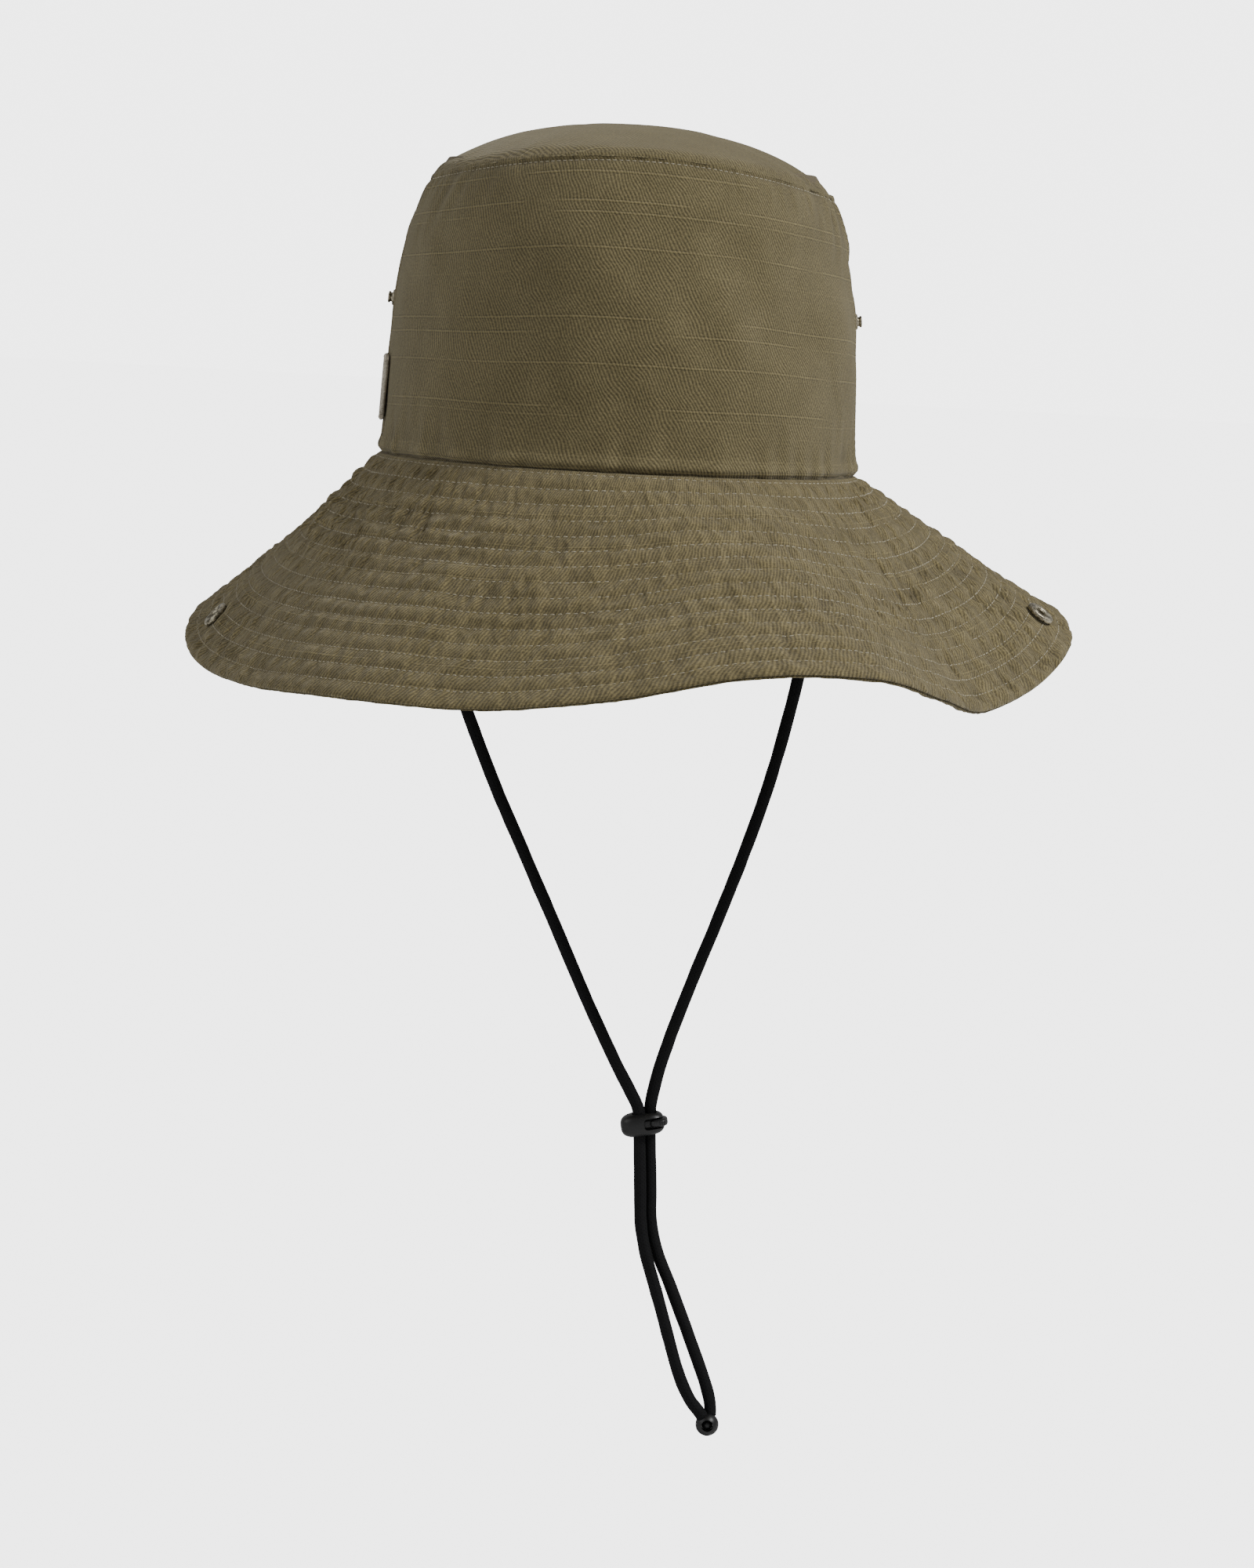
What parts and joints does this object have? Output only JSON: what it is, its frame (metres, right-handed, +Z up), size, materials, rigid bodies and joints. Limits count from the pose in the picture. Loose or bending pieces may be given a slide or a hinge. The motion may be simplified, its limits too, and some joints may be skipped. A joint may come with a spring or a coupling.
{
  "type": "boonie hat",
  "caption": "Wide-brimmed soft hat with a domed crown, stitched wavy brim, snap-up brim sides and a braided chin cord with a push-button lock.",
  "frame": {"origin": "centre of the head opening, in the plane of the crown's base seam", "axes": "+Z up along the crown, -Y towards the front of the hat, +X to the right as seen from the front"},
  "size_m": [0.3186, 0.3561, 0.4674],
  "materials": {
    "crown_cloth": "olive cotton ripstop, matt",
    "brim_cloth": "olive cotton ripstop, washed, with rows of stitching",
    "band_cloth": "olive cotton twill",
    "interlining": "undyed stiffening cloth",
    "patch_cloth": "plain beige patch with an overlocked edge",
    "snap_metal": "antiqued, dull",
    "cord_braid": "black round braid",
    "lock_plastic": "black, satin",
    "spring_steel": "drawn wire"
  },
  "bodies": {
    "crown": {"crown_front_panel": "crown_cloth", "crown_back_panel": "crown_cloth", "crown_tip": "crown_cloth", "sweatband": "band_cloth", "tip_seam_tape": "band_cloth", "left_side_seam_tape": "band_cloth", "right_side_seam_tape": "band_cloth", "brim_upper_centre": "brim_cloth", "brim_interlining_centre": "interlining", "brim_under_centre": "brim_cloth", "left_snap_stud": "snap_metal", "left_stud_back": "snap_metal", "right_snap_stud": "snap_metal", "right_stud_back": "snap_metal", "left_side_patch": "patch_cloth", "left_cord_anchor": "cord_braid", "right_cord_anchor": "cord_braid"},
    "left_brim_side": {"brim_upper_left_side": "brim_cloth", "brim_interlining_left_side": "interlining", "brim_under_left_side": "brim_cloth", "left_snap_socket": "snap_metal", "left_socket_back": "snap_metal"},
    "right_brim_side": {"brim_upper_right_side": "brim_cloth", "brim_interlining_right_side": "interlining", "brim_under_right_side": "brim_cloth", "right_snap_socket": "snap_metal", "right_socket_back": "snap_metal"},
    "chin_cord": {"chin_cord_left": "cord_braid", "chin_cord_right": "cord_braid", "cord_end_bead": "lock_plastic"},
    "cord_lock": {"cord_lock_body": "lock_plastic", "cord_lock_spring": "spring_steel"},
    "lock_button": {"cord_lock_plunger": "lock_plastic"}
  },
  "joints": [
    {"name": "left_side_fold", "type": "hinge", "parent": "crown", "child": "left_brim_side", "pos_m": [-0.09477, 0, -0.01203], "axis": [0, 1, 0], "range_deg": [0, 145], "stiffness_Nm_per_rad": 0.004},
    {"name": "right_side_fold", "type": "hinge", "parent": "crown", "child": "right_brim_side", "pos_m": [0.09864, 0, -0.00987], "axis": [0, -1, 0], "range_deg": [0, 134], "stiffness_Nm_per_rad": 0.004},
    {"name": "chin_cord_swing", "type": "hinge", "parent": "crown", "child": "chin_cord", "pos_m": [0, 0, -0.01], "axis": [1, 0, 0], "range_deg": [-50, 50]},
    {"name": "cord_lock_slide", "type": "slide", "parent": "chin_cord", "child": "cord_lock", "axis": [0.0695, 0, -0.9976], "range_m": [0, 0.024]},
    {"name": "lock_button_press", "type": "slide", "parent": "cord_lock", "child": "lock_button", "axis": [-0.9816, 0, -0.1908], "range_m": [0, 0.0012], "stiffness_N_per_m": 300, "springref_m": -0.001, "deforming": ["cord_lock_spring"]}
  ]
}
